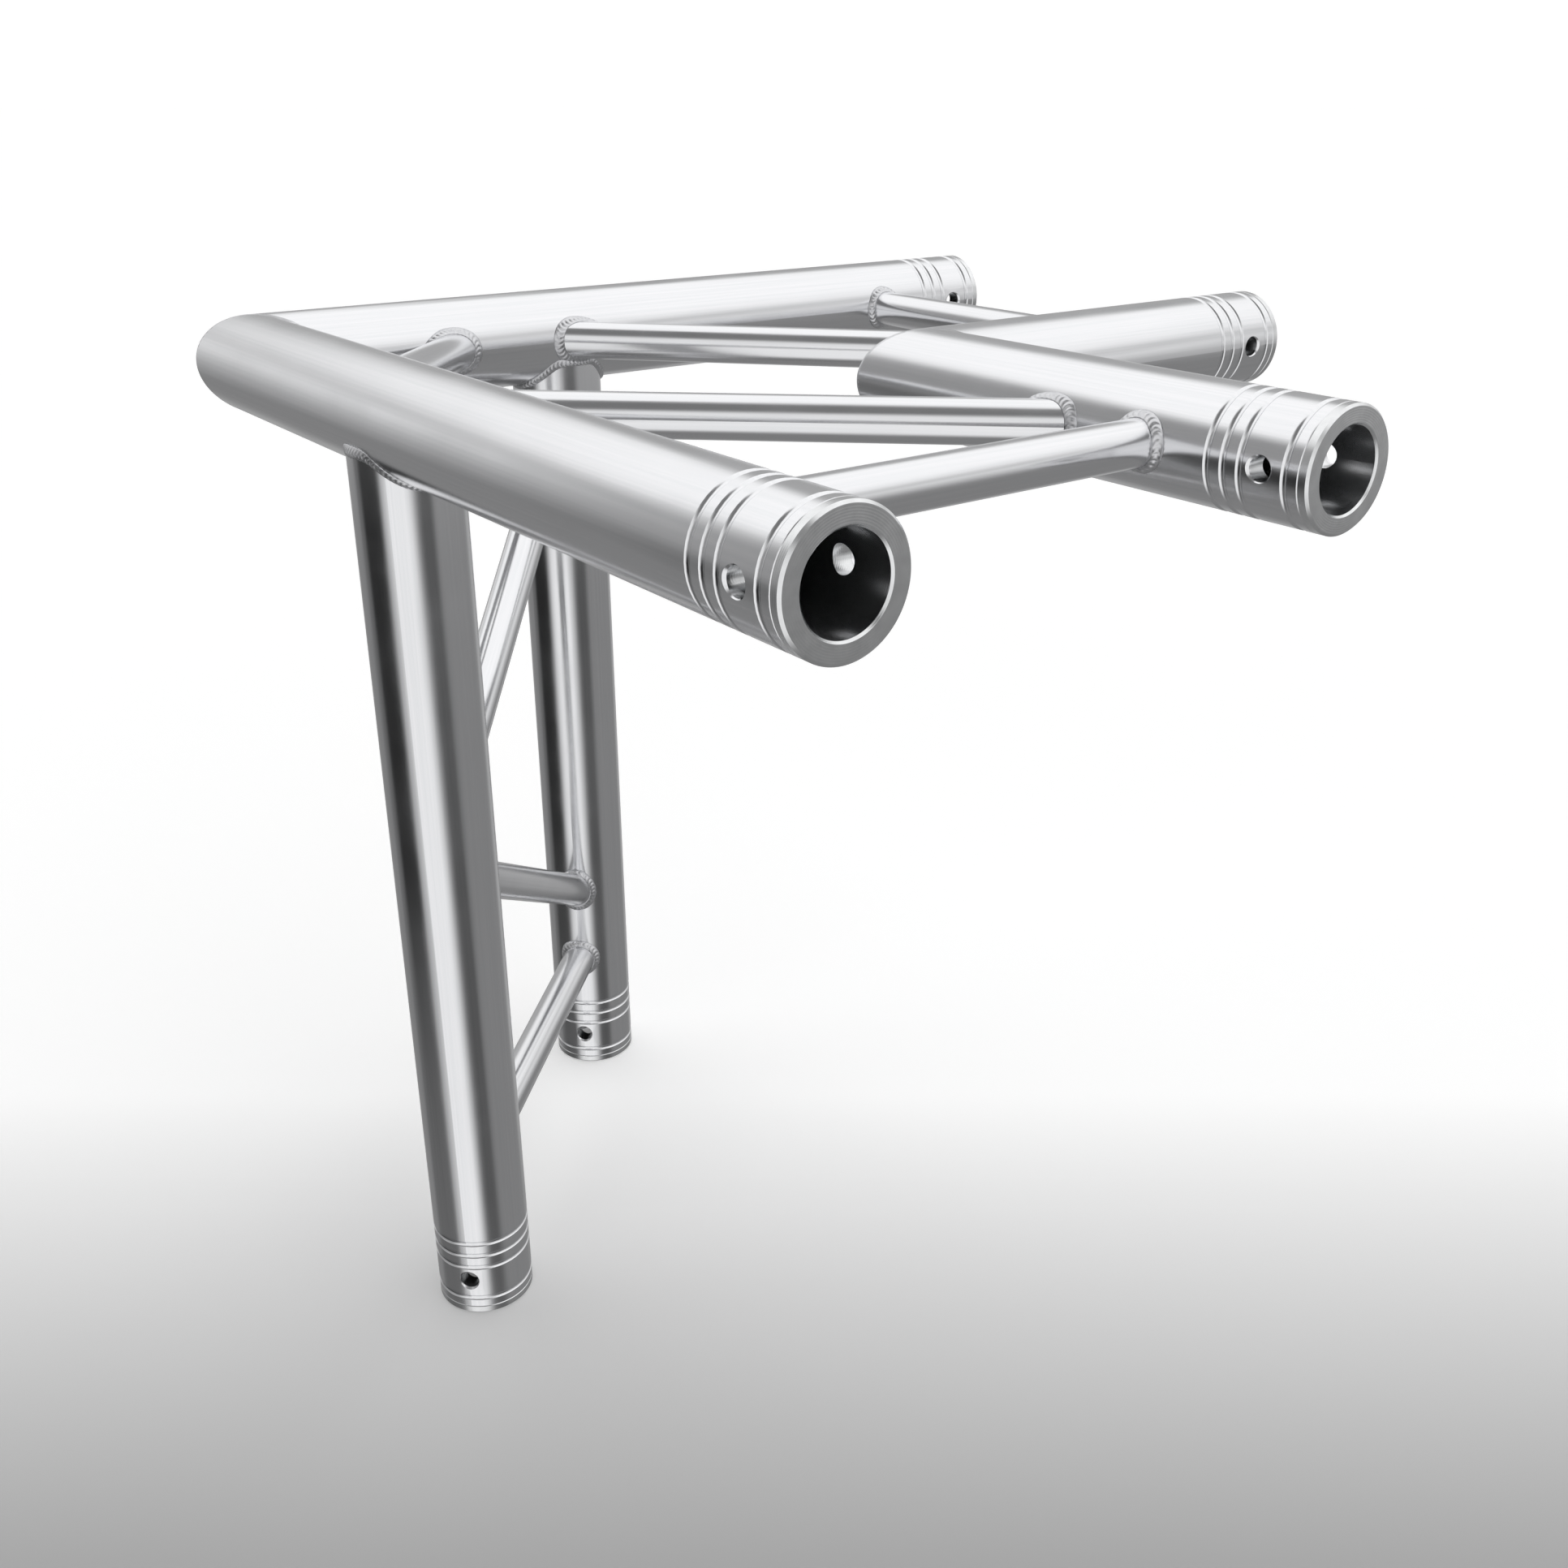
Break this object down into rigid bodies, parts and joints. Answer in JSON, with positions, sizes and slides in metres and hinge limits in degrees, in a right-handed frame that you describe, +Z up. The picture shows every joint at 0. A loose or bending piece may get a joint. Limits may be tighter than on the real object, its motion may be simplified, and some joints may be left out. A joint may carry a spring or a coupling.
{
  "type": "ladder truss corner",
  "caption": "Welded aluminium ladder truss corner: two flat arms at a right angle and a leg hanging down, with a conical coupler socket and cross pin hole in each chord end.",
  "frame": {"origin": "midway between the two leg mouths, on the plane of their faces, where the leg seats on what carries it", "axes": "+Z up, along the leg; +X and +Y out along the two arms; the outer chords cross at x = y = -84.85 mm, z = 475 mm"},
  "size_m": [0.5015, 0.5015, 0.5],
  "materials": {
    "chord_tube": "satin, as extruded",
    "brace_tube": "satin, as extruded",
    "receiver": "turned",
    "weld_bead": "as welded, rippled",
    "ground_weld": "ground flush and brushed"
  },
  "bodies": {
    "root": {"arm_diagonal_x": "brace_tube", "arm_diagonal_x_weld_end": "weld_bead", "arm_diagonal_x_weld_start": "weld_bead", "arm_diagonal_y": "brace_tube", "arm_diagonal_y_weld_end": "weld_bead", "arm_diagonal_y_weld_start": "weld_bead", "arm_end_brace_x": "brace_tube", "arm_end_brace_x_weld_end": "weld_bead", "arm_end_brace_x_weld_start": "weld_bead", "arm_end_brace_y": "brace_tube", "arm_end_brace_y_weld_end": "weld_bead", "arm_end_brace_y_weld_start": "weld_bead", "corner_brace": "brace_tube", "corner_brace_weld_end": "weld_bead", "corner_brace_weld_start": "weld_bead", "inner_chord_x": "chord_tube", "inner_chord_y": "chord_tube", "inner_mitre_weld": "ground_weld", "inner_receiver_x": "receiver", "inner_receiver_y": "receiver", "leg_chord_x": "chord_tube", "leg_chord_y": "chord_tube", "leg_end_brace": "brace_tube", "leg_end_brace_weld_end": "weld_bead", "leg_end_brace_weld_start": "weld_bead", "leg_lower_diagonal": "brace_tube", "leg_lower_diagonal_weld_end": "weld_bead", "leg_lower_diagonal_weld_start": "weld_bead", "leg_receiver_x": "receiver", "leg_receiver_y": "receiver", "leg_upper_diagonal": "brace_tube", "leg_upper_diagonal_weld_end": "weld_bead", "leg_upper_diagonal_weld_start": "weld_bead", "leg_weld_x": "weld_bead", "leg_weld_y": "weld_bead", "outer_chord_x": "chord_tube", "outer_chord_y": "chord_tube", "outer_mitre_weld": "ground_weld", "outer_receiver_x": "receiver", "outer_receiver_y": "receiver"}
  },
  "joints": []
}
